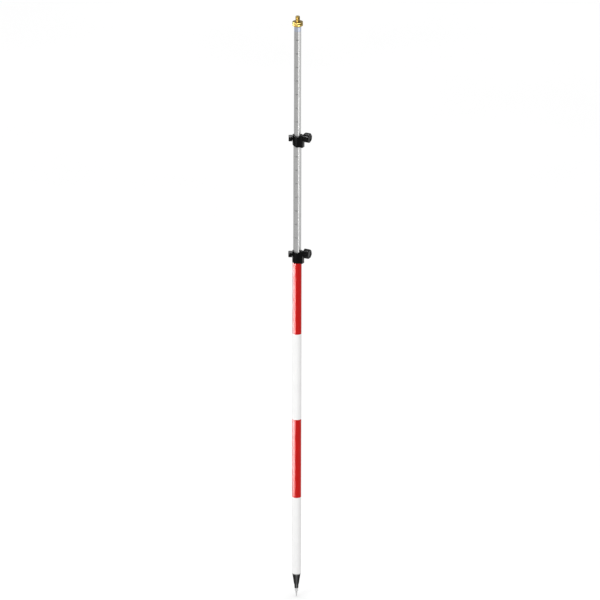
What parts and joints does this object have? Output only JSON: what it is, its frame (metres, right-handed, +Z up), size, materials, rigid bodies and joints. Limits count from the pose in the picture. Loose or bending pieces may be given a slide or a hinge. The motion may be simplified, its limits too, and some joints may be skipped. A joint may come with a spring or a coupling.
{
  "type": "prism pole",
  "caption": "Telescoping surveying pole: steel point, red and white banded lower tube, sliding aluminium tubes, black knob clamps and a threaded brass stud.",
  "frame": {"origin": "tip of the steel ground point, on the pole axis", "axes": "+Z up along the pole axis, +X towards the clamp knobs' side, +Y towards the level vial"},
  "size_m": [0.0825, 0.0919, 2.1485],
  "materials": {
    "aluminium": "satin drawn tube",
    "red_film": "gloss PVC film",
    "white_film": "gloss PVC film",
    "black_plastic": "moulded glass-filled nylon",
    "brass": "turned, lightly polished",
    "steel": "bright ground steel",
    "collar_metal": "clear anodised",
    "black_anodised": "black anodised",
    "nylon": "natural nylon",
    "rubber": "fibre-reinforced rubber",
    "vial_glass": "clear acrylic",
    "vial_fluid": "yellow-green spirit",
    "vial_bubble": "air bubble"
  },
  "bodies": {
    "lower_section": {"steel_point": "steel", "foot_ferrule": "black_plastic", "point_insert": "brass", "ferrule_pin": "steel", "lower_tube": "aluminium", "white_bands": "white_film", "red_bands": "red_film", "lower_clamp_body": "black_plastic", "lower_clamp_bushing": "nylon", "lower_clamp_screws": "steel", "lower_thread_insert": "brass", "lower_lock_housing": "steel", "lower_lock_spring": "steel", "vial_bracket": "black_anodised", "vial_bracket_screws": "steel", "vial_cup": "black_anodised", "vial_glass": "vial_glass", "vial_fluid": "vial_fluid", "vial_bubble": "vial_bubble", "vial_ring": "black_anodised", "vial_adjusting_screws": "steel"},
    "lower_shoe": {"lower_pressure_shoe": "nylon"},
    "lower_knob": {"lower_knob_stud": "steel", "lower_clamp_knob": "black_plastic", "lower_knob_cap": "black_plastic"},
    "lower_plunger": {"lower_lock_pin": "steel", "lower_pull_knob": "black_plastic"},
    "middle_section": {"middle_tube": "aluminium", "middle_foot_guide": "nylon", "upper_clamp_body": "black_plastic", "upper_clamp_bushing": "nylon", "upper_clamp_screws": "steel", "upper_thread_insert": "brass", "upper_lock_housing": "steel", "upper_lock_spring": "steel"},
    "upper_shoe": {"upper_pressure_shoe": "nylon"},
    "upper_knob": {"upper_knob_stud": "steel", "upper_clamp_knob": "black_plastic", "upper_knob_cap": "black_plastic"},
    "upper_plunger": {"upper_lock_pin": "steel", "upper_pull_knob": "black_plastic"},
    "upper_section": {"upper_tube": "aluminium", "upper_foot_guide": "nylon", "head_collar": "collar_metal", "collar_set_screw": "steel"},
    "ring_body": {"lock_ring": "brass"},
    "washer_body": {"flange_washer": "rubber"},
    "stud_body": {"prism_stud": "brass"}
  },
  "joints": [
    {"name": "middle_slide", "type": "slide", "parent": "lower_section", "child": "middle_section", "axis": [0, 0, 1], "range_m": [-0.38, 0.59]},
    {"name": "lower_shoe_slide", "type": "slide", "parent": "lower_section", "child": "lower_shoe", "axis": [0.8829, -0.4695, 0], "range_m": [0, 0.00187]},
    {"name": "lower_knob_turn", "type": "hinge", "parent": "lower_shoe", "child": "lower_knob", "pos_m": [0.01633, -0.00869, 1.279], "axis": [0.8829, -0.4695, 0], "range_deg": [0, 540]},
    {"name": "lower_lock_pull", "type": "slide", "parent": "lower_section", "child": "lower_plunger", "axis": [-1, 0, 0], "range_m": [0, 0.004], "stiffness_N_per_m": 1200, "springref_m": -0.003, "deforming": ["lower_lock_spring"]},
    {"name": "upper_slide", "type": "slide", "parent": "middle_section", "child": "upper_section", "axis": [0, 0, 1], "range_m": [-0.394, 0.58]},
    {"name": "upper_shoe_slide", "type": "slide", "parent": "middle_section", "child": "upper_shoe", "axis": [0.8829, -0.4695, 0], "range_m": [0, 0.00187]},
    {"name": "upper_knob_turn", "type": "hinge", "parent": "upper_shoe", "child": "upper_knob", "pos_m": [0.01633, -0.00869, 1.707], "axis": [0.8829, -0.4695, 0], "range_deg": [0, 540]},
    {"name": "upper_lock_pull", "type": "slide", "parent": "middle_section", "child": "upper_plunger", "axis": [-1, 0, 0], "range_m": [0, 0.004], "stiffness_N_per_m": 1200, "springref_m": -0.003, "deforming": ["upper_lock_spring"]},
    {"name": "ring_turn", "type": "hinge", "parent": "upper_section", "child": "ring_body", "pos_m": [0, 0, 2.1165], "axis": [0, 0, 1], "range_deg": [0, 45]},
    {"name": "washer_rise", "type": "slide", "parent": "upper_section", "child": "washer_body", "axis": [0, 0, 1], "range_m": [0, 0.01154]},
    {"name": "stud_turn", "type": "hinge", "parent": "washer_body", "child": "stud_body", "pos_m": [0, 0, 2.126], "axis": [0, 0, 1], "range_deg": [0, 1800]}
  ],
  "couplings": [
    {"joint": "lower_knob_turn", "follows": "lower_shoe_slide", "rad_per_m": 5026.5},
    {"joint": "upper_knob_turn", "follows": "upper_shoe_slide", "rad_per_m": 5026.5},
    {"joint": "stud_turn", "follows": "washer_rise", "rad_per_m": 2721.1}
  ]
}
